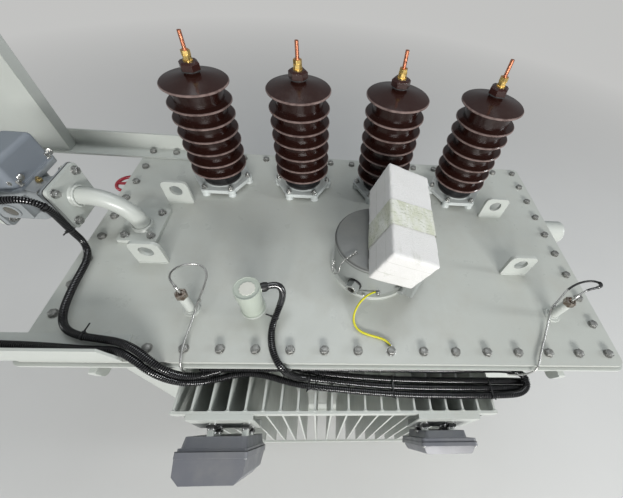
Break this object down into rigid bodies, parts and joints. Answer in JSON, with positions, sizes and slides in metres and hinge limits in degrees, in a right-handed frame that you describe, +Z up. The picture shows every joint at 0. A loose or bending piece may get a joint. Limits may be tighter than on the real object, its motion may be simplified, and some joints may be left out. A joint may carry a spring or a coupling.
{
  "type": "neutral earthing transformer",
  "caption": "Oil-filled earthing transformer: finned tank, bolted cover with porcelain bushings, gas relay to a side conservator, relief valve, gauges and control leads.",
  "frame": {"origin": "on the ground, centre of the four anchor holes in the skids, under the middle of the tank", "axes": "+X along the tank away from the conservator, +Y to the bushing side, +Z up"},
  "size_m": [2.68, 1.3669, 1.926],
  "materials": {
    "brown_porcelain": "glossy dark brown glaze",
    "brown_enamel": "glossy dark brown enamel",
    "copper_brass": "copper stud with brass nuts",
    "cast_clamp_paint": "pale grey painted casting",
    "black_rubber": "matte",
    "white_foam": "expanded foam, matte",
    "black_conduit": "corrugated, satin",
    "steel_capillary": "woven steel sheath",
    "yellow_green_wire": "yellow and green insulation",
    "red_paint": "red gloss paint",
    "grey_casting": "mid grey enamelled casting",
    "pale_plastic": "pale grey plastic",
    "bright_steel": "plated steel",
    "light_grey_paint": "light grey semi-gloss paint"
  },
  "bodies": {
    "transformer": {"bushing_1_porcelain": "brown_porcelain", "bushing_2_porcelain": "brown_porcelain", "bushing_3_porcelain": "brown_porcelain", "bushing_4_porcelain": "brown_porcelain", "bushing_caps": "brown_enamel", "bushing_clamps": "cast_clamp_paint", "bushing_terminals": "copper_brass", "conservator_ends": "light_grey_paint", "conservator_pipe": "light_grey_paint", "conservator_shell": "light_grey_paint", "cover_gasket": "black_rubber", "earth_wire": "yellow_green_wire", "foam_block": "white_foam", "front_fins": "light_grey_paint", "left_capillary": "steel_capillary", "left_gauge_bracket": "light_grey_paint", "left_gauge_case": "grey_casting", "left_gauge_cover": "grey_casting", "level_conduit": "black_conduit", "level_gauge": "grey_casting", "lifting_lugs": "light_grey_paint", "rear_fins": "light_grey_paint", "relay_body": "grey_casting", "relay_conduit": "black_conduit", "relay_elbow": "light_grey_paint", "relay_pad": "light_grey_paint", "relay_terminal_cover": "grey_casting", "relief_valve_cap": "grey_casting", "relief_valve_flange": "light_grey_paint", "relief_valve_switch": "grey_casting", "right_capillary": "steel_capillary", "right_gauge_bracket": "light_grey_paint", "right_gauge_case": "grey_casting", "right_gauge_cover": "grey_casting", "sensor_conduit": "black_conduit", "sensor_head": "pale_plastic", "side_stub": "light_grey_paint", "skids": "light_grey_paint", "support_angles": "light_grey_paint", "support_panels": "light_grey_paint", "tank_cover": "light_grey_paint", "tank_floor": "light_grey_paint", "tank_hooks": "light_grey_paint", "tank_rim": "light_grey_paint", "tank_wall": "light_grey_paint", "thermometer_pockets": "bright_steel", "valve_body": "light_grey_paint"},
    "handwheel": {"valve_handwheel": "red_paint"}
  },
  "joints": [
    {"name": "handwheel_turn", "type": "hinge", "parent": "transformer", "child": "handwheel", "pos_m": [-0.97, 0.35, 1.1], "axis": [0, 0, 1], "range_deg": [0, 1800]}
  ]
}
